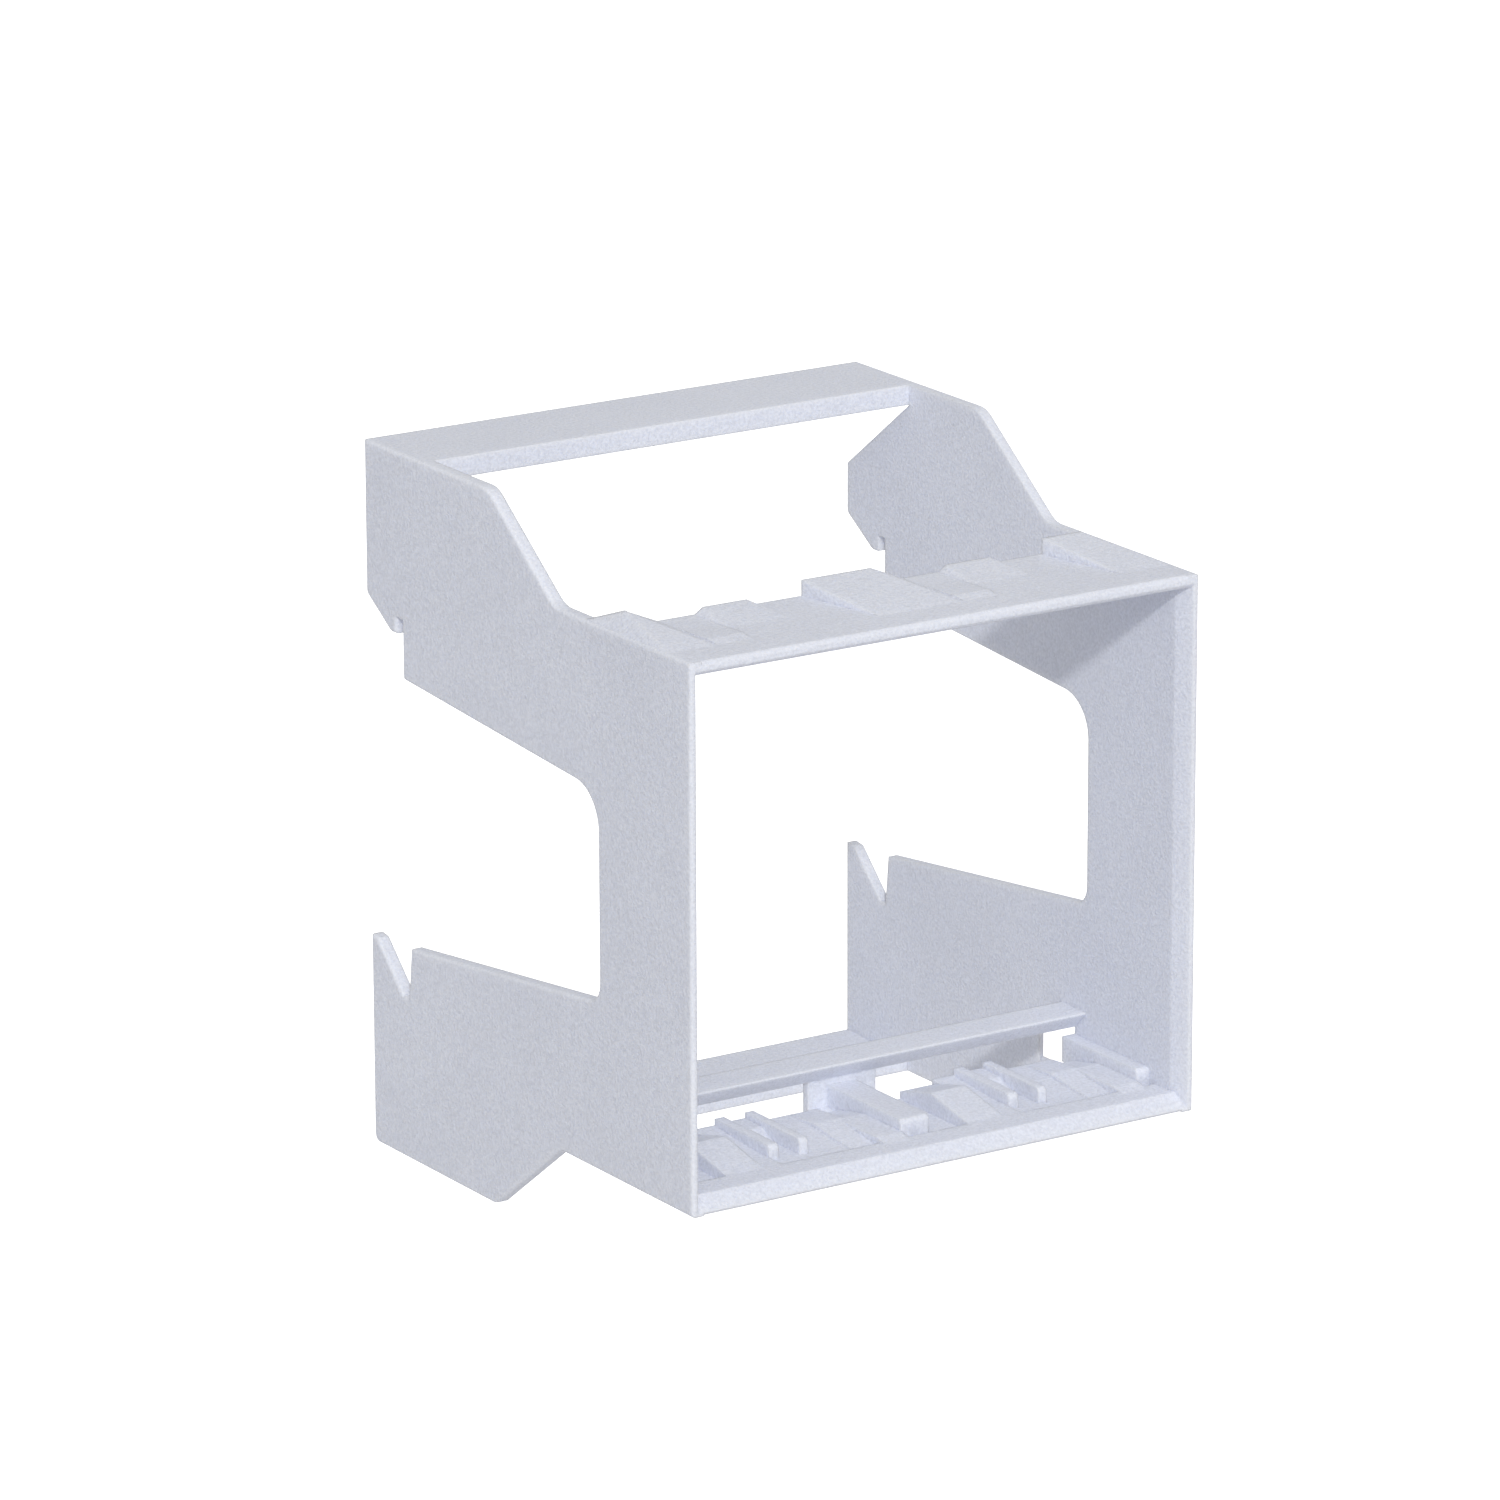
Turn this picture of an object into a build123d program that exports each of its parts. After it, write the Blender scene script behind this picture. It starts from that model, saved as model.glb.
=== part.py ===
from build123d import *
import os

os.makedirs("parts", exist_ok=True)

# Frame: the origin is the middle of the rail seat. +Y points at the wall behind the rail,
# the open front of the holder looks along -Y, +X is to the right and +Z is up. Sizes are in mm.

# Rail that the holder clips onto: the standard 35 mm top-hat rail, 1 mm sheet.
rail_height = 35.0
rail_lip = 1.0
rail_play_z = 0.3
rail_play_y = 0.1
seat_half = rail_height / 2 + rail_play_z
slot_y = rail_lip + rail_play_y

# Whole holder.
bay_pitch = 25.65
end_margin = 1.1
wall = 1.2
width = 2 * (bay_pitch + end_margin)
half_width = width / 2
inner_half = half_width - wall
front_depth = 48.1
front_y = -front_depth
front_half_height = 25.0
arm_half_height = 33.3
rear_y = 6.3
edge_round = 0.3
weld = 0.4

# Side plate outline.
arm_start_y = -26.2
arm_bend_y = -15.0
arm_bend_r = 3.0
foot_tip_r = 1.4
foot_rear_r = 0.8
hook_corner_z = 19.0
hook_tip_z = seat_half - 1.5
hook_tip_y = 2.1
hook_tip_r = 0.9
hook_corner_r = 0.7
claw_rear_z = -13.35
claw_front_y = 5.2
claw_front_z = -13.5
catch_y = 0.75
catch_front_y = -0.2
window_front_y = -33.0
window_top_z = 9.9
window_bottom_z = -9.35
window_top_r = 4.0
window_bottom_r = 1.9
rail_face_top_z = 12.3
rail_face_low_y = -0.7
rail_face_low_z = -13.0

# Cross bars that join the rear ends of the two plates.
bar_front_y = -4.0
top_bar_thickness = 1.9
foot_bar_thickness = 1.3

# Right plate only: corner cut off under the top bar, and a slot with a sill under the latch ledge.
corner_cut_z = 23.7
notch_length = 6.65
notch_flare = 1.05
sill_top = 1.35
sill_drop = 2.55
sill_run = 2.4

# Top plate of the front frame and the ramps on it.
top_thickness = 1.2
top_depth = 13.3
mouth_land_top = 0.85
ramp_start = 3.9
tall_ramp_left = -6.65
tall_ramp_crown = 0.65
tall_ramp_right = 4.05
tall_ramp_height = 1.45
tall_ramp_skew = 1.9
low_ramp_start = 8.0
low_ramp_left = -17.75
low_ramp_crown = -12.35
low_ramp_right = -11.35
low_ramp_height = 0.55
low_ramp_flank = 0.8
hump_left = 4.2
hump_right = 7.9
hump_peak = 5.4
hump_end = 10.0
hump_height = 0.22
left_fall = 1.55
gusset_length = 3.9
right_fall = 3.2

# Bottom plate: bevelled front lip, then the guide ribs and latch pads of each bay.
lip_height = 1.55
floor_thin = 0.85
floor_depth = 15.1
lip_depth = 4.2
divider_width = 3.0
divider_start = 5.1
divider_height = 2.85
crest_depth = 10.3
crest_height = 2.75
rib_start = 6.2
rib_height = 2.65
rib_round = 0.3

# Relief of one bay, measured to the right from the middle of the divider before it.
wide_pad_left = 5.1
wide_pad_step = 9.0
strip_rise = 0.5
strip_start = 8.0
first_rib = 10.9
first_rib_width = 1.0
second_rib = 14.1
second_rib_width = 0.9
rib_trough = 1.25
rib_skirt = 1.4
skirt_start = 11.8
bench_foot = 10.2
bench_start = 12.3
bench_height = 2.13
pad_floor = 1.15
pad_floor_rise = 6.5
near_pad = 18.8
near_pad_start = 4.6
near_pad_low = 1.1
near_pad_crest = 11.0
near_pad_height = 1.9
far_pad = 21.4
far_pad_start = 3.4
far_pad_nose = 4.9
far_pad_height = 1.85
far_pad_rear = 1.0

# Latch ledge behind the bottom plate and the post that carries it.
ledge_top = 5.35
ledge_bottom = 3.5
ledge_nose = 0.2
ledge_depth = 3.9
post_start = 16.85
post_width = 7.3
post_thickness = 0.8

# Bevels round the mouth: steep above and below, a long shallow draft on the two sides.
mouth_land = 0.2
mouth_side_land = 0.57
mouth_side_depth = 1.95
floor_z = -front_half_height


def outline_corner(sketch, y, z):
    return sketch.vertices().sort_by(lambda v: (v.X - y) ** 2 + (v.Y - z) ** 2)[0]


def bay_prism(x0, x1, section):
    """Extrude a (depth behind the front, height above the bottom) section from x0 to x1."""
    left = max(x0, -inner_half - weld)
    right = min(x1, inner_half + weld)
    if right - left < 0.05:
        return
    points = [(front_y + depth, floor_z + height) for depth, height in section]
    with BuildSketch(Plane.YZ.offset(left)) as profile:
        with BuildLine():
            Polyline(*points, close=True)
        make_face()
    extrude(profile.sketch, amount=right - left)


with BuildPart() as keystone_holder:
    # Both side plates come from one outline, extruded over the full width.
    with BuildSketch(Plane.YZ) as outline:
        with BuildLine():
            Polyline(
                (front_y, -front_half_height),
                (front_y, front_half_height),
                (arm_start_y, front_half_height),
                (arm_bend_y, arm_half_height),
                (rear_y, arm_half_height),
                (rear_y, hook_corner_z),
                (hook_tip_y, hook_tip_z),
                (slot_y, hook_tip_z),
                (slot_y, seat_half),
                (0, seat_half),
                (0, rail_face_top_z),
                (window_front_y, window_top_z),
                (window_front_y, window_bottom_z),
                (rail_face_low_y, rail_face_low_z),
                (catch_front_y, -seat_half),
                (catch_y, -seat_half),
                (claw_front_y, claw_front_z),
                (rear_y, claw_rear_z),
                (rear_y, -arm_half_height),
                (arm_bend_y, -arm_half_height),
                (arm_start_y, -front_half_height),
                close=True,
            )
        make_face()
        for y, z, radius in (
            (arm_start_y, front_half_height, arm_bend_r),
            (arm_bend_y, arm_half_height, arm_bend_r),
            (rear_y, hook_corner_z, hook_corner_r),
            (hook_tip_y, hook_tip_z, hook_tip_r),
            (window_front_y, window_top_z, window_top_r),
            (window_front_y, window_bottom_z, window_bottom_r),
            (0, rail_face_top_z, edge_round),
            (claw_front_y, claw_front_z, edge_round),
            (rear_y, -arm_half_height, foot_rear_r),
            (arm_bend_y, -arm_half_height, foot_tip_r),
            (arm_start_y, -front_half_height, arm_bend_r),
        ):
            fillet(outline_corner(outline, y, z), radius=radius)
    extrude(amount=half_width, both=True)
    outer_faces = keystone_holder.faces().filter_by(Axis.X)
    fillet(outer_faces.edges(), radius=edge_round)
    Box(2 * inner_half, 200, 200, mode=Mode.SUBTRACT)

    # Right plate: corner cut off below the top bar.
    with BuildSketch(Plane.YZ.offset(inner_half - weld)):
        with BuildLine():
            Polyline(
                (bar_front_y, arm_half_height - top_bar_thickness),
                (rear_y + 1, arm_half_height - top_bar_thickness),
                (rear_y + 1, corner_cut_z - 0.75),
                (rear_y, corner_cut_z),
                close=True,
            )
        make_face()
    extrude(amount=wall + 2 * weld, mode=Mode.SUBTRACT)

    # Right plate: the lower edge drops early, as the sill of a slot under the ledge.
    notch_y = front_y + post_start
    arm_slope = (arm_bend_y - arm_start_y) / (arm_half_height - front_half_height)
    with BuildSketch(Plane.YZ.offset(inner_half)):
        with BuildLine():
            Polyline(
                (notch_y - sill_run, floor_z + edge_round),
                (notch_y - sill_run, floor_z),
                (notch_y - sill_run + sill_drop, floor_z - sill_drop),
                (arm_start_y + arm_slope * sill_drop + weld, floor_z - sill_drop),
                (arm_start_y + arm_slope * sill_drop + weld, floor_z + edge_round),
                close=True,
            )
        make_face()
    extrude(amount=wall)
    # the rear wall of the slot is slanted, so the slot is longer on the outside
    flare = notch_flare / wall
    with BuildSketch(Plane.XY.offset(floor_z - sill_top)):
        with BuildLine():
            Polyline(
                (inner_half - weld, notch_y),
                (half_width + weld, notch_y),
                (half_width + weld, notch_y + notch_length + flare * weld),
                (inner_half - weld, notch_y + notch_length - notch_flare - flare * weld),
                close=True,
            )
        make_face()
    extrude(amount=ledge_bottom + sill_top, mode=Mode.SUBTRACT)

    # Rear cross bars, flush with the arms.
    bar_y = (bar_front_y + rear_y) / 2
    bar_length = 2 * inner_half + 2 * weld
    with Locations((0, bar_y, arm_half_height - top_bar_thickness / 2)):
        Box(bar_length, rear_y - bar_front_y, top_bar_thickness)
    with BuildSketch(Plane.YZ) as foot_bar:
        with BuildLine():
            Polyline(
                (bar_front_y, -arm_half_height),
                (rear_y, -arm_half_height),
                (rear_y, foot_bar_thickness - arm_half_height),
                (bar_front_y, foot_bar_thickness - arm_half_height),
                close=True,
            )
        make_face()
        fillet(outline_corner(foot_bar, rear_y, -arm_half_height), radius=foot_rear_r)
    extrude(amount=bar_length / 2, both=True)

    # Top plate of the front frame.
    roof = 2 * front_half_height
    bay_prism(-width, width, (
        (0, roof - top_thickness),
        (0, roof - edge_round),
        (edge_round, roof),
        (top_depth, roof),
        (top_depth, roof - top_thickness),
    ))

    # Bottom plate: thin sheet with a thick front lip.
    bay_prism(-width, width, (
        (edge_round, 0),
        (0, edge_round),
        (0, lip_height),
        (lip_depth, lip_height),
        (lip_depth, floor_thin),
        (floor_depth, floor_thin),
        (floor_depth, 0),
    ))

    # The two bays repeat the same relief at one pitch.
    divider_half = divider_width / 2
    low = floor_thin / 2
    raised = (
        (lip_depth - 1, low),
        (lip_depth - 1, lip_height),
        (floor_depth, lip_height),
        (floor_depth, low),
    )
    for shift in (-bay_pitch, 0):
        bay_prism(shift + wide_pad_left, shift + first_rib, raised)
        bay_prism(shift + second_rib, shift + near_pad + weld, (
            (lip_depth - 1, low), (lip_depth - 1, pad_floor), (pad_floor_rise, pad_floor),
            (near_pad_crest, lip_height), (floor_depth, lip_height), (floor_depth, low)))
        # wide latch pad, a slope up to a crest, and a lower strip beside it that rises to the rear
        bay_prism(shift + wide_pad_left, shift + wide_pad_step, (
            (lip_depth, low), (lip_depth, lip_height), (crest_depth, crest_height),
            (floor_depth, lip_height), (floor_depth, low)))
        bay_prism(shift + wide_pad_step - weld, shift + first_rib + weld, (
            (strip_start, low), (strip_start, lip_height),
            (floor_depth, lip_height + strip_rise), (floor_depth, low)))
        # pair of guide ribs with blunt noses
        for rib_x, rib_width in ((first_rib, first_rib_width), (second_rib, second_rib_width)):
            bay_prism(shift + rib_x, shift + rib_x + rib_width, (
                (rib_start, low), (rib_start, rib_height - rib_round), (rib_start + rib_round, rib_height),
                (floor_depth, rib_height), (floor_depth, low)))
        # shallow trough between the ribs, then a steep step up to a bench
        bay_prism(shift + first_rib + weld, shift + second_rib + weld, (
            (lip_depth - 1, low), (lip_depth - 1, rib_trough), (bench_foot, rib_trough),
            (bench_start, bench_height), (floor_depth, bench_height), (floor_depth, low)))
        # skirt that falls away on the right of the second rib
        skirt_x = shift + second_rib + second_rib_width
        with BuildSketch(Plane.XZ.offset(-front_y - skirt_start)) as skirt:
            with BuildLine():
                Polyline(
                    (skirt_x - weld, floor_z + low),
                    (skirt_x - weld, floor_z + rib_height - rib_round / 2),
                    (skirt_x, floor_z + rib_height - rib_round / 2),
                    (skirt_x + rib_skirt, floor_z + lip_height),
                    (skirt_x + rib_skirt, floor_z + low),
                    close=True,
                )
            make_face()
        extrude(skirt.sketch, amount=skirt_start - floor_depth)
        # narrow pads beside the next divider
        bay_prism(shift + near_pad, shift + far_pad + weld, (
            (lip_depth - 1, low), (lip_depth - 1, near_pad_low), (near_pad_start, near_pad_low),
            (near_pad_crest, near_pad_height), (floor_depth, lip_height), (floor_depth, low)))
        bay_prism(shift + far_pad, shift + bay_pitch - divider_half, (
            (far_pad_start, low), (far_pad_start, lip_height), (far_pad_nose, far_pad_height),
            (near_pad_crest, far_pad_height), (floor_depth, far_pad_rear), (floor_depth, low)))

    # Dividers between the bays; the outer two are half ribs against the side plates.
    for centre in (-bay_pitch, 0, bay_pitch):
        bay_prism(centre - divider_half, centre + divider_half, (
            (divider_start, low), (divider_start, divider_height - rib_round),
            (divider_start + rib_round, divider_height),
            (post_start, divider_height), (post_start, low)))

    # Ramps on the outer side of the top plate, also one set to a bay. They rise to the rear,
    # and the outermost fall away to the outer edges of the side plates.
    roof_z = front_half_height
    ramp_sets = (
        (tall_ramp_left, tall_ramp_crown, tall_ramp_right, tall_ramp_height, ramp_start, tall_ramp_skew, 0),
        (low_ramp_left, low_ramp_crown, low_ramp_right, low_ramp_height, low_ramp_start, 0, low_ramp_flank),
    )
    eave = half_width - edge_round
    for shift in (-bay_pitch, 0, bay_pitch):
        for x0, x1, x2, height, start, skew, flank in ramp_sets:
            left = max(x0 + shift, -eave)
            crown = min(max(x1 + shift, left), eave)
            right = min(x2 + shift, eave)
            if right - left < 1.5 * wall:
                continue
            with BuildPart() as ramp:
                with BuildSketch(Plane.XZ.offset(-front_y)):
                    with BuildLine():
                        Polyline(
                            (left, roof_z - low),
                            (left, roof_z),
                            (left + flank, roof_z + height),
                            (crown, roof_z + height),
                            (x2 + shift, roof_z),
                            (x2 + shift, roof_z - low),
                            close=True,
                        )
                    make_face()
                extrude(amount=-top_depth)
                with BuildSketch(Plane.YZ):
                    with BuildLine():
                        Polyline(
                            (front_y + start, roof_z - 2 * low),
                            (front_y + start, roof_z),
                            (front_y + top_depth, roof_z + height),
                            (front_y + top_depth, roof_z - 2 * low),
                            close=True,
                        )
                    make_face()
                extrude(amount=width, both=True, mode=Mode.INTERSECT)
                with BuildSketch(Plane.XZ.offset(-front_y + 1)):
                    with BuildLine():
                        Polyline(
                            (-eave, roof_z - 2 * low),
                            (-eave, roof_z),
                            (-eave + left_fall, roof_z + tall_ramp_height),
                            (eave - right_fall, roof_z + tall_ramp_height),
                            (eave, roof_z),
                            (eave, roof_z - 2 * low),
                            close=True,
                        )
                    make_face()
                extrude(amount=-2 * top_depth, mode=Mode.INTERSECT)
                # the left flank of a skewed ramp moves right towards the front
                if skew and left > -eave:
                    with BuildSketch(Plane.XY.offset(roof_z)):
                        with BuildLine():
                            Polyline(
                                (left, front_y + top_depth),
                                (left + skew, front_y + start),
                                (left - skew, front_y + start),
                                close=True,
                            )
                        make_face()
                    extrude(amount=2 * height, both=True, mode=Mode.SUBTRACT)
            add(ramp.part)
        bay_prism(shift + hump_left, shift + hump_right, (
            (ramp_start, roof - low), (ramp_start, roof), (hump_peak, roof + hump_height),
            (hump_end, roof), (hump_end, roof - low)))

    # The left fall runs on behind the top plate as a small corner gusset.
    plate_rear = front_y + top_depth
    with BuildPart() as gusset:
        with BuildSketch(Plane.XY.offset(roof_z - top_thickness)):
            with BuildLine():
                Polyline(
                    (-eave, plate_rear + gusset_length),
                    (-eave + left_fall, plate_rear),
                    (-eave + left_fall, plate_rear - weld),
                    (-eave, plate_rear - weld),
                    close=True,
                )
            make_face()
        extrude(amount=2 * wall + tall_ramp_height)
        with BuildSketch(Plane.XZ.offset(-front_y)):
            with BuildLine():
                Polyline(
                    (-eave, roof_z - 2 * wall),
                    (-eave, roof_z),
                    (-eave + left_fall, roof_z + tall_ramp_height),
                    (-eave + left_fall, roof_z - 2 * wall),
                    close=True,
                )
            make_face()
        extrude(amount=-front_depth, mode=Mode.INTERSECT)
    add(gusset.part)

    # Latch ledge with an undercut nose, and its post.
    ledge_rear = floor_depth + ledge_depth
    bay_prism(-width, width, (
        (floor_depth, ledge_top),
        (floor_depth, ledge_top - ledge_nose),
        (post_start, ledge_bottom),
        (ledge_rear, ledge_bottom),
        (ledge_rear, ledge_top),
    ))
    bay_prism(-post_width / 2, post_width / 2, (
        (floor_depth - 1, 0), (floor_depth - 1, low), (post_start, floor_thin),
        (post_start, ledge_bottom + weld), (post_start + post_thickness, ledge_bottom + weld),
        (post_start + post_thickness, 0)))

    # Bevelled mouth: a frustum with a narrow land left at the outer edges.
    draft_outer = inner_half + 2 * (wall - mouth_side_land)
    with BuildPart() as mouth:
        with BuildSketch(Plane.XY.offset(-50)):
            with BuildLine():
                Polyline(
                    (-draft_outer, front_y - mouth_side_depth),
                    (draft_outer, front_y - mouth_side_depth),
                    (inner_half, front_y + mouth_side_depth),
                    (-inner_half, front_y + mouth_side_depth),
                    close=True,
                )
            make_face()
        extrude(amount=100)
        with BuildSketch(Plane.YZ):
            with BuildLine():
                Polyline(
                    (front_y - 2, floor_z + mouth_land - 2),
                    (front_y - 2, front_half_height - mouth_land_top + 2),
                    (front_y + top_thickness - mouth_land_top, front_half_height - top_thickness),
                    (front_y + 2 * wall, front_half_height - top_thickness),
                    (front_y + 2 * wall, floor_z + lip_height),
                    (front_y + lip_height - mouth_land, floor_z + lip_height),
                    close=True,
                )
            make_face()
        extrude(amount=width, both=True, mode=Mode.INTERSECT)
    add(mouth.part, mode=Mode.SUBTRACT)

keystone_holder.part.label = "keystone_holder"
export_step(keystone_holder.part, "parts/keystone_holder.step")
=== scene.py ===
# %% [markdown]
# # A clip-on rail holder for keystone modules
#
# The real object is one piece of light, cool grey plastic, moulded in a single shot. Two flat
# side plates are joined by a top plate, a bottom plate and two bars at the back. Hooks and claws
# cut into the rear edges of the plates grip a 35 mm rail. The shape comes finished from the CAD
# model, so this lesson is about what makes plain plastic look real: its colour, its fine texture,
# soft edges, and light that shows the shape without any hard glare.

import math

import bpy
from mathutils import Matrix, Vector


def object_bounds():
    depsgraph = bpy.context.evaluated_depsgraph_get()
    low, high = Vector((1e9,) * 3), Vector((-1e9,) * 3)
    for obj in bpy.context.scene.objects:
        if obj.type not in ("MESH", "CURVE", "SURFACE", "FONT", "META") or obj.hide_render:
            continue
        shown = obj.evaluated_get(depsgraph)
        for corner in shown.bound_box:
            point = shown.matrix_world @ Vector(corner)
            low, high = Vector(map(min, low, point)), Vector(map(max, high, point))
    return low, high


MM = 0.001

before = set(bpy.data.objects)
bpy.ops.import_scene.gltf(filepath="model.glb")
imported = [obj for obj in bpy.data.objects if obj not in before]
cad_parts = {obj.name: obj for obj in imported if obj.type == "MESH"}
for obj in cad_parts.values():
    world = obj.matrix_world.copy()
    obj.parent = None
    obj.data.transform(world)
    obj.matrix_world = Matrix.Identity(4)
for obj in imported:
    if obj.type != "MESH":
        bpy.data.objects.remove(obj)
cad_low, cad_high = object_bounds()
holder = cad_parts["keystone_holder"]
print("holder, mm:", [round((b - a) / MM, 2) for a, b in zip(cad_low, cad_high)])

# %% [markdown]
# ## Three small helpers
#
# Colours are read from a colour chart as sRGB hex values, but a renderer adds light in linear
# numbers, so one function converts them by the sRGB standard's own curve. Shader networks are
# easier to read when each node is one call, so a second function adds a node, fills in its
# settings and joins its inputs. A third empties a node tree, because a new material comes with
# nodes that this lesson doesn't use.

# %% Colour and node helpers
def linear(hex_colour):
    channels = [int(hex_colour[i : i + 2], 16) / 255 for i in (1, 3, 5)]
    return [c / 12.92 if c <= 0.04045 else ((c + 0.055) / 1.055) ** 2.4 for c in channels] + [1.0]


def add_node(tree, kind, settings=None, values=None, links=None):
    node = tree.nodes.new(kind)
    for name, value in (settings or {}).items():
        setattr(node, name, value)
    for socket, value in (values or {}).items():
        node.inputs[socket].default_value = value
    for socket, source in (links or {}).items():
        tree.links.new(source, node.inputs[socket])
    return node


def empty_tree(owner):
    owner.use_nodes = True
    owner.node_tree.nodes.clear()
    return owner.node_tree


WHITE = linear("#FFFFFF")
print("half grey, #808080, is", round(linear("#808080")[0], 3), "of white in linear light")

# %% [markdown]
# ## The plastic
#
# The holder is taken to be moulded ABS. Its mould was spark-eroded, which leaves a fine, even,
# matte texture: no sharp highlights, only a soft brightening where a face turns to the light.
# The look is built up in four layers, each too weak to notice alone: tone, grain with painted
# shade in its pits, soft edges and light below the surface. Every pattern reads Object
# coordinates, which are in metres here, so a noise whose patches are about S metres wide has a
# scale of 1 / S.

# %% Moulded ABS, spark-eroded matte
abs_plastic = bpy.data.materials.new("moulded_abs_light_grey")
tree = empty_tree(abs_plastic)
place = add_node(tree, "ShaderNodeTexCoord")

for slot in holder.material_slots:
    slot.material = abs_plastic
print(abs_plastic.name, "on", holder.name, "in", len(holder.material_slots), "slot")

# %% [markdown]
# ### Tone
#
# Melt fills a mould from one place and cools as it goes, so a moulded face is never quite one
# colour. The drift here is about a centimetre wide and barely visible: a slow noise moves the
# tone between two greys that lie three steps of 255 apart. A colour ramp is used, because its
# two stops can be set closer together than the ends of the noise, which are seldom reached.

# %% Drift of tone
TONE_DRIFT = 14 * MM
DEEPER_GREY = "#E0E3ED"
PALER_GREY = "#E3E6F0"
DEEPER_STOP = 0.35
PALER_STOP = 0.65

drift = add_node(
    tree, "ShaderNodeTexNoise", {"noise_dimensions": "3D"},
    {"Scale": 1 / TONE_DRIFT, "Detail": 2.0, "Roughness": 0.45},
    {"Vector": place.outputs["Object"]},
)
tone = add_node(tree, "ShaderNodeValToRGB", links={"Fac": drift.outputs["Fac"]})
deeper, paler = tone.color_ramp.elements
deeper.position = DEEPER_STOP
deeper.color = linear(DEEPER_GREY)
paler.position = PALER_STOP
paler.color = linear(PALER_GREY)
print("tone from", DEEPER_GREY, "to", PALER_GREY, "over about", round(TONE_DRIFT / MM), "mm")

# %% [markdown]
# ### Grain and painted pit shade
#
# Spark erosion leaves pits about 0.3 mm across. The shade that falls in them is painted into the
# colour here: the pit bottoms are a few percent darker and the ridges between them a few percent
# lighter. That painted shade gives the eye the fine speckle that separates a moulded part from
# flat paint. Most of the noise lies between 0.3 and 0.7, so that part of it is spread over the
# whole range of painted shade.

# %% Painted shade in the pits of the spark-eroded grain
GRAIN = 0.28 * MM
NOISE_LOW = 0.3
NOISE_HIGH = 0.7
PAINTED_PIT_SHADE = 0.93
PAINTED_RIDGE_LIGHT = 1.07

grain = add_node(
    tree, "ShaderNodeTexNoise", {"noise_dimensions": "3D"},
    {"Scale": 1 / GRAIN, "Detail": 1.5, "Roughness": 0.5},
    {"Vector": place.outputs["Object"]},
)
# Painted shade and light: the base colour is darkened in the pits and lightened on the ridges.
painted_pit_shade = add_node(
    tree, "ShaderNodeMapRange",
    values={
        "From Min": NOISE_LOW, "From Max": NOISE_HIGH,
        "To Min": PAINTED_PIT_SHADE, "To Max": PAINTED_RIDGE_LIGHT,
    },
    links={"Value": grain.outputs["Fac"]},
)
tone_with_painted_pit_shade = add_node(
    tree, "ShaderNodeVectorMath", {"operation": "SCALE"},
    links={0: tone.outputs["Color"], "Scale": painted_pit_shade.outputs["Result"]},
)
print("grain", round(GRAIN / MM, 2), "mm, shade from", PAINTED_PIT_SHADE, "to", PAINTED_RIDGE_LIGHT)

# %% [markdown]
# ### Relief and soft edges
#
# The same noise also drives a bump, so that pits and ridges catch the light as real relief
# does. The bump's distance is the height from the lowest to the highest possible value of the
# noise, and the pits use about four tenths of it, a few hundredths of a millimetre. Moulded
# edges are never perfectly sharp either. A bevel node rounds the shading of each edge by a
# quarter of a millimetre and leaves the mesh as it is. It comes first, and the bump is laid on
# its rounded normals.

# %% Relief of the grain on softened edges
SOFT_EDGE = 0.25 * MM
EDGE_SAMPLES = 8
NOISE_HEIGHT = 0.1 * MM

soft_edge = add_node(
    tree, "ShaderNodeBevel", {"samples": EDGE_SAMPLES}, {"Radius": SOFT_EDGE}
)
relief = add_node(
    tree, "ShaderNodeBump", values={"Strength": 1.0, "Distance": NOISE_HEIGHT},
    links={"Height": grain.outputs["Fac"], "Normal": soft_edge.outputs["Normal"]},
)
pit_depth = (NOISE_HIGH - NOISE_LOW) * NOISE_HEIGHT
print("pits about", round(pit_depth / MM, 2), "mm deep, edges", round(SOFT_EDGE / MM, 2), "mm")

# %% [markdown]
# ### Surface
#
# ABS has an index of refraction near 1.53. A spark-eroded face is rough, and its pits also
# swallow part of the reflection, so the specular level is lower than on smooth plastic. Last,
# pale plastic lets a little light spread about a millimetre below its surface, red a little
# further than blue, which keeps the thin ribs from looking hard and stony.

# %% Surface of the plastic
ABS_IOR = 1.53
MATTE = 0.62
PITTED_SPECULAR = 0.35
LIGHT_SHARE = 0.6
LIGHT_SPREAD = 1.2 * MM
SPREAD_BY_COLOUR = (1.0, 0.95, 0.9)

surface = add_node(
    tree, "ShaderNodeBsdfPrincipled",
    values={
        "Roughness": MATTE,
        "IOR": ABS_IOR,
        "Specular IOR Level": PITTED_SPECULAR,
        "Subsurface Weight": LIGHT_SHARE,
        "Subsurface Radius": SPREAD_BY_COLOUR,
        "Subsurface Scale": LIGHT_SPREAD,
    },
    links={"Base Color": tone_with_painted_pit_shade.outputs["Vector"], "Normal": relief.outputs["Normal"]},
)
add_node(tree, "ShaderNodeOutputMaterial", links={"Surface": surface.outputs["BSDF"]})
print(abs_plastic.name, "has", len(tree.nodes), "nodes")

# %% [markdown]
# ## Floor
#
# The holder hangs on a rail in use, so nothing stands under it here: the floor is a plain pale
# sheet, half a metre below, that sends soft light back up. The paper is a pale matte grey, and
# a white glow is added to it for the camera's own rays alone. So the background is clean and
# white, as in a catalogue, and no more light falls on the object.

# %% Sheet of studio paper
FLOOR_DROP = 0.5
FLOOR_RADIUS = 6.0
PAPER_GREY = "#E6E6E8"

bpy.ops.object.select_all(action="DESELECT")
bpy.ops.mesh.primitive_circle_add(
    vertices=96, radius=FLOOR_RADIUS, fill_type="NGON", location=(0, 0, cad_low.z - FLOOR_DROP)
)
floor = bpy.context.object
floor.name = "floor"
bpy.ops.object.transform_apply(location=True, rotation=False, scale=False)

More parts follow.
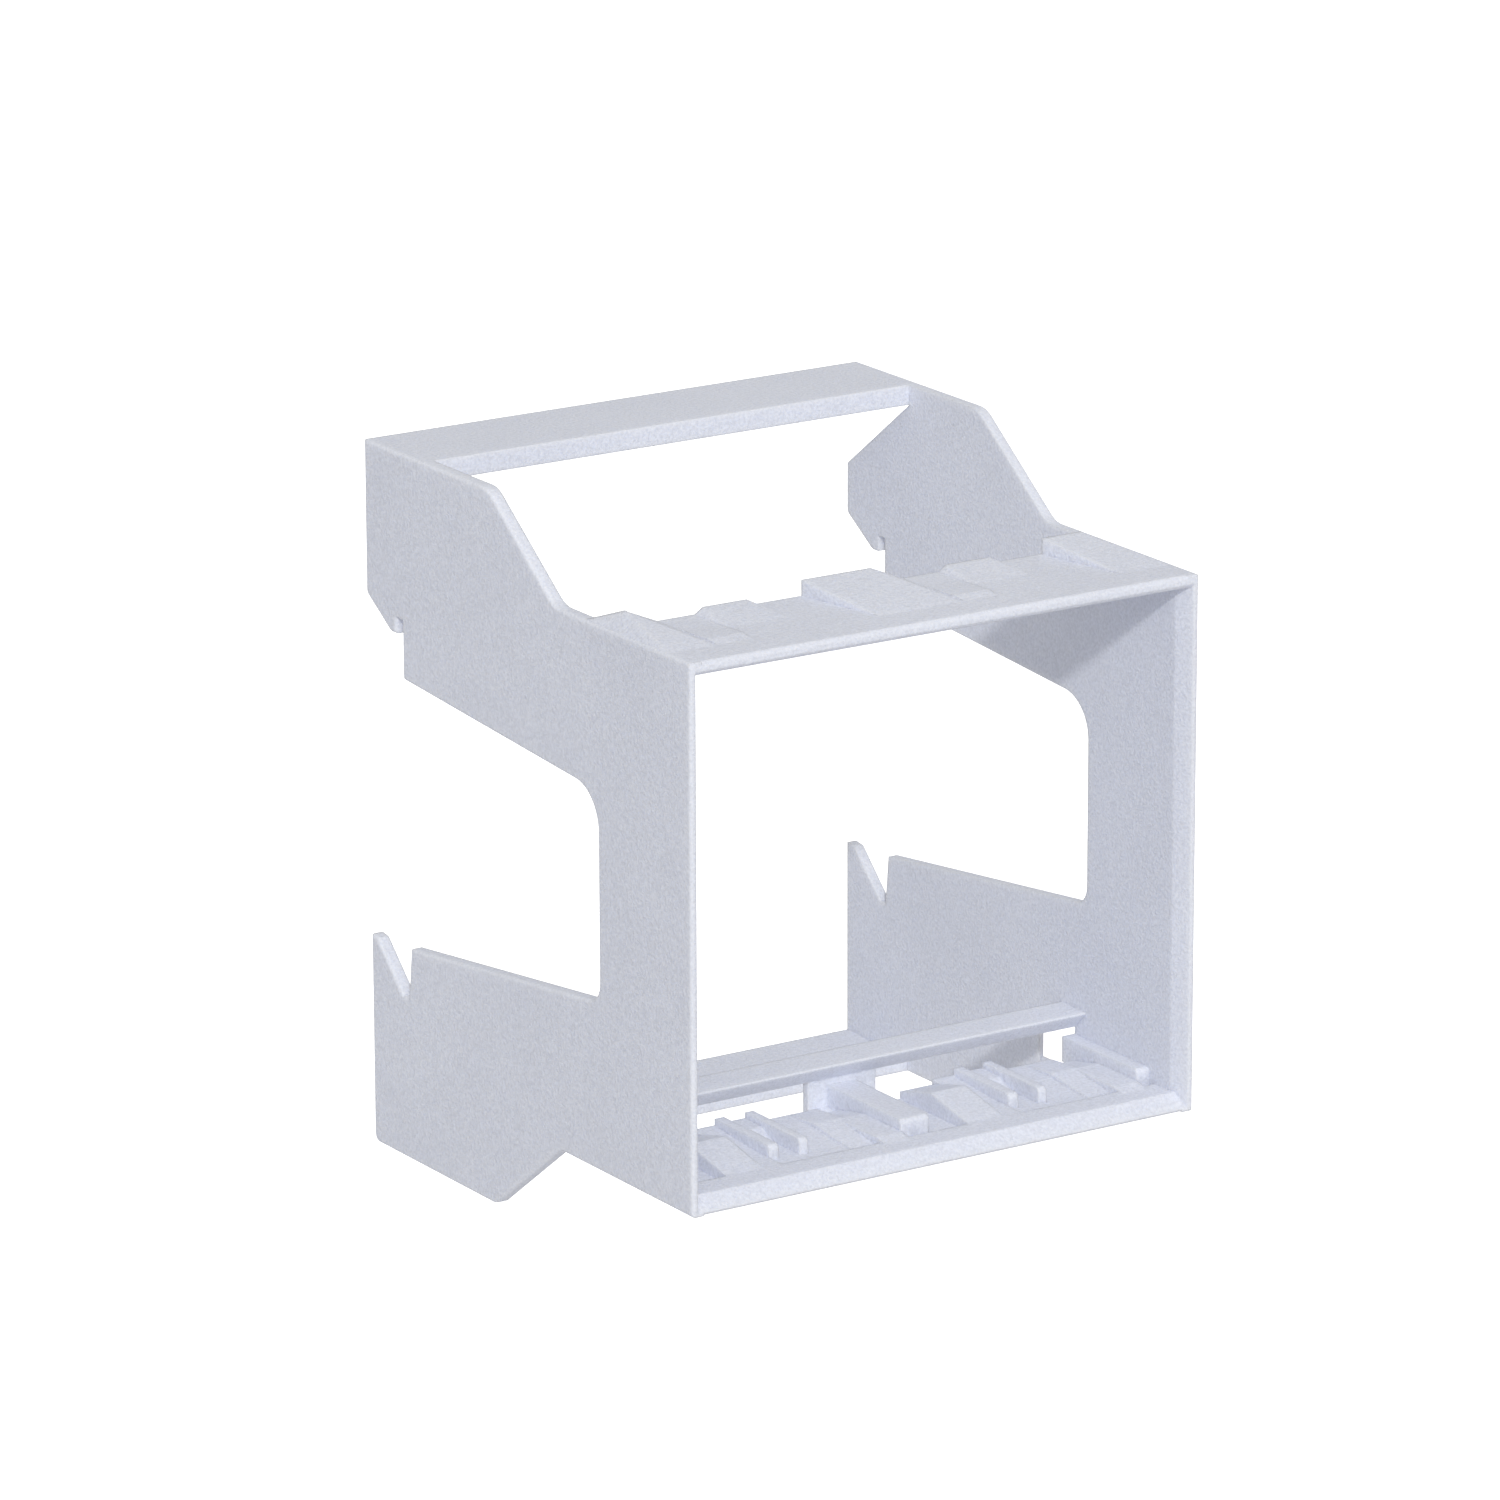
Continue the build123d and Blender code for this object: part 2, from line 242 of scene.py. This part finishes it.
paper = bpy.data.materials.new("white_studio_paper")
tree = empty_tree(paper)
ray = add_node(tree, "ShaderNodeLightPath")
matte = add_node(tree, "ShaderNodeBsdfDiffuse", values={"Color": linear(PAPER_GREY)})
glow = add_node(
    tree, "ShaderNodeEmission", values={"Color": WHITE},
    links={"Strength": ray.outputs["Is Camera Ray"]},
)
both = add_node(
    tree, "ShaderNodeAddShader", links={0: matte.outputs["BSDF"], 1: glow.outputs["Emission"]}
)
add_node(tree, "ShaderNodeOutputMaterial", links={"Surface": both.outputs["Shader"]})
floor.data.materials.append(paper)
print("floor", 2 * FLOOR_RADIUS, "m across,", FLOOR_DROP, "m below the holder")

# %% [markdown]
# ## Light from all round
#
# The picture has soft light from all round, so no face is dark. A world background gives it,
# at less than half of white, so pale faces keep their tone. What the camera sees directly, or
# through something clear, is full white, and a mix shader chooses between the two.

# %% World
SKY_LEVEL = 0.45

world = bpy.data.worlds.new("studio_surround")
bpy.context.scene.world = world
tree = empty_tree(world)
ray = add_node(tree, "ShaderNodeLightPath")
seen = add_node(
    tree, "ShaderNodeMath", {"operation": "MAXIMUM"},
    links={0: ray.outputs["Is Camera Ray"], 1: ray.outputs["Is Transmission Ray"]},
)
soft = add_node(
    tree, "ShaderNodeBackground", values={"Color": WHITE, "Strength": SKY_LEVEL}
)
white = add_node(tree, "ShaderNodeBackground", values={"Color": WHITE, "Strength": 1.0})
choose = add_node(
    tree, "ShaderNodeMixShader",
    links={
        0: seen.outputs["Value"],
        1: soft.outputs["Background"],
        2: white.outputs["Background"],
    },
)
add_node(tree, "ShaderNodeOutputWorld", links={"Surface": choose.outputs["Shader"]})
print("light from all round:", SKY_LEVEL, "of white")

# %% [markdown]
# ## Lamps
#
# One broad lamp stands behind the camera and higher. It makes the upright front faces and the
# bevels the brightest, and throws the shadow of the top plate onto the inner face of the
# right-hand plate. A sun lamp stands in for it, as the blur of its shadows is then one angle.
# A soft panel, high in front, opens up the floor of the bays, which the sun reaches only at a
# low slant. A lamp shines along its own -Z, so it is turned until -Z points the right way.

# %% Broad lamp and front panel
SUN_POWER = 1.46
SUN_BLUR = math.radians(3.5)
SUN_DIRECTION = (0.40, 0.75, -0.52)
PANEL_POWER = 2.95
PANEL_WIDTH = 1.2
PANEL_HEIGHT = 0.8
PANEL_PLACE = (-0.3, -1.0, 0.95)
PANEL_DIRECTION = (0.3, 1.0, -0.95)


def add_lamp(name, kind, power, direction):
    data = bpy.data.lights.new(name, kind)
    data.energy = power
    lamp = bpy.data.objects.new(name, data)
    bpy.context.collection.objects.link(lamp)
    lamp.rotation_mode = "QUATERNION"
    lamp.rotation_quaternion = Vector(direction).to_track_quat("-Z", "Y")
    return lamp


sun = add_lamp("broad_lamp", "SUN", SUN_POWER, SUN_DIRECTION)
sun.data.angle = SUN_BLUR

panel = add_lamp("front_panel", "AREA", PANEL_POWER, PANEL_DIRECTION)
panel.data.shape = "RECTANGLE"
panel.data.size = PANEL_WIDTH
panel.data.size_y = PANEL_HEIGHT
panel.location = PANEL_PLACE
print("lamps:", sun.name, SUN_POWER, "W/m2 and", panel.name, PANEL_POWER, "W")

# %% [markdown]
# ## Camera
#
# The photograph was taken with a long lens from the front left, a little above. The numbers
# were fitted to edges of the frame, the rear bars, the hooks and the ribs. Four out of five
# short stretches of edge then fall within about 0.2 mm of the same edge of the photograph. A
# camera looks along its own -Z, so its matrix is built from three directions: right, up, and
# back, away from what it looks at. A small slide puts the holder where it stands in the frame.

# %% Camera at the photograph's angle
AZIMUTH = math.radians(-32.955)
ELEVATION = math.radians(16.268)
ROLL = math.radians(-0.16)
AIM_POINT = Vector((-1.75, -23.1, 5.0)) * MM
DISTANCE = 770.45 * MM
SLIDE_RIGHT = 2.28 * MM
SLIDE_UP = -2.186 * MM
FOCAL_PIXELS = 8591.4
PICTURE_PIXELS = 1500
SENSOR_WIDTH = 36
NEAREST_SEEN = 0.05
FURTHEST_SEEN = 50

back = Vector((
    math.sin(AZIMUTH) * math.cos(ELEVATION),
    -math.cos(AZIMUTH) * math.cos(ELEVATION),
    math.sin(ELEVATION),
))
level_right = Vector((math.cos(AZIMUTH), math.sin(AZIMUTH), 0))
level_up = back.cross(level_right)
right = math.cos(ROLL) * level_right + math.sin(ROLL) * level_up
up = math.cos(ROLL) * level_up - math.sin(ROLL) * level_right

camera_data = bpy.data.cameras.new("camera")
camera_data.sensor_width = SENSOR_WIDTH
camera_data.lens = SENSOR_WIDTH * FOCAL_PIXELS / PICTURE_PIXELS
camera_data.clip_start = NEAREST_SEEN
camera_data.clip_end = FURTHEST_SEEN
camera = bpy.data.objects.new("camera", camera_data)
bpy.context.collection.objects.link(camera)
camera.matrix_world = Matrix.Translation(
    AIM_POINT - SLIDE_RIGHT * right - SLIDE_UP * up + DISTANCE * back
) @ Matrix((right, up, back)).transposed().to_4x4()
bpy.context.scene.camera = camera
print("lens, mm:", round(camera_data.lens, 1), "camera at", [round(c, 3) for c in camera.location])

# %% [markdown]
# ## Colours as written
#
# Blender's usual view transform bends tones as film does, so a pale grey comes out deeper than
# it was written. The Standard transform shows each colour as its hex value says.

# %% View transform
bpy.context.scene.view_settings.view_transform = "Standard"
print("view transform:", bpy.context.scene.view_settings.view_transform)
